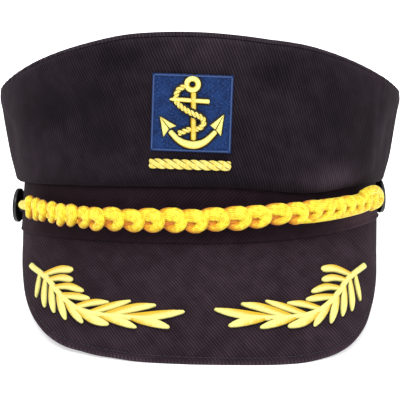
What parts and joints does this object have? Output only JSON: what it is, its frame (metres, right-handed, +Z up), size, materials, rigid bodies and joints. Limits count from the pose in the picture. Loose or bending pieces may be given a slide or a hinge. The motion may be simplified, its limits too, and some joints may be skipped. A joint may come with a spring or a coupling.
{
  "type": "captain hat",
  "caption": "Soft peaked sea captain's hat with a braided cord, side buttons, an anchor badge and embroidered sprigs on the peak.",
  "frame": {"origin": "bottom centre of the hat's bounding box, on the surface that it rests on", "axes": "+Z up at rest, the peak points to -Y and +X is to the right of a viewer in front"},
  "size_m": [0.1962, 0.2556, 0.1359],
  "materials": {
    "crown_twill": "matt black cotton twill",
    "band_twill": "matt black cotton twill, cut on the other diagonal",
    "peak_twill": "matt black cotton twill over a stiff board",
    "braid_cord": "golden yellow knotted cord with a soft sheen",
    "gold_thread": "pale gold satin-stitch embroidery thread",
    "badge_cloth": "navy blue filled embroidery with a raised border",
    "button_plastic": "black, slightly glossy"
  },
  "bodies": {
    "root": {"crown_top": "crown_twill", "crown_wall": "crown_twill", "band": "band_twill", "peak": "peak_twill", "braid": "braid_cord", "button_left": "button_plastic", "button_right": "button_plastic", "badge": "badge_cloth", "anchor": "gold_thread", "rope_bar": "gold_thread", "sprig_left": "gold_thread", "sprig_right": "gold_thread"}
  },
  "joints": []
}
